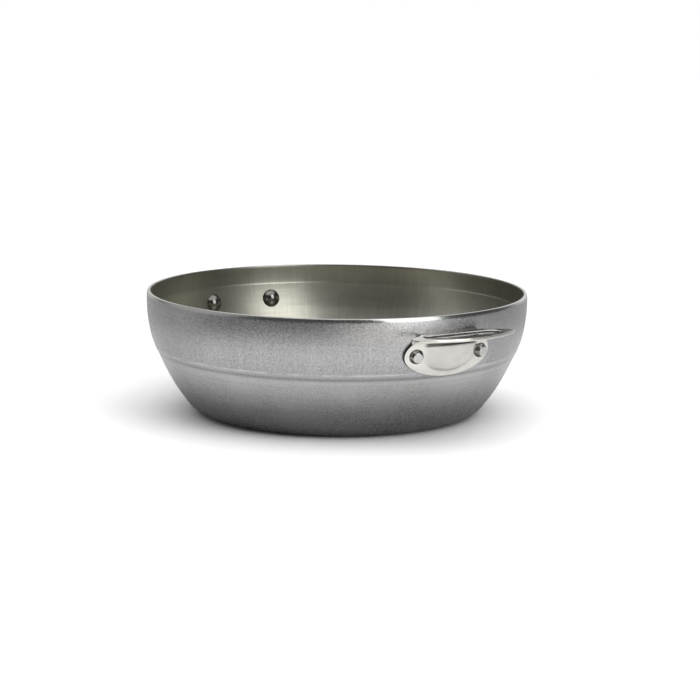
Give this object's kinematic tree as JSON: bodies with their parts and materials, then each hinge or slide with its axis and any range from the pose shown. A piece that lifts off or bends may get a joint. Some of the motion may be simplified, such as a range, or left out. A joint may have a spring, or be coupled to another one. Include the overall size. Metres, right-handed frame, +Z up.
{
  "type": "two-handled cooking pan",
  "caption": "Deep round steel cooking pan with curved sides, a flat base and a riveted ear handle on each side.",
  "frame": {"origin": "centre of the flat underside, on the surface that the pan stands on", "axes": "+Z up out of the bowl; +X through the right handle and -X through the left one; Y across the handles"},
  "size_m": [0.3398, 0.2804, 0.09],
  "materials": {
    "carbon_steel": "bare spun carbon steel, faintly speckled outside and satin inside",
    "stainless": "polished stainless steel",
    "rivet_steel": "dark smooth steel"
  },
  "bodies": {
    "root": {"pan_body": "carbon_steel", "right_handle": "stainless", "left_handle": "stainless", "right_front_rivet": "rivet_steel", "right_rear_rivet": "rivet_steel", "left_front_rivet": "rivet_steel", "left_rear_rivet": "rivet_steel"}
  },
  "joints": []
}
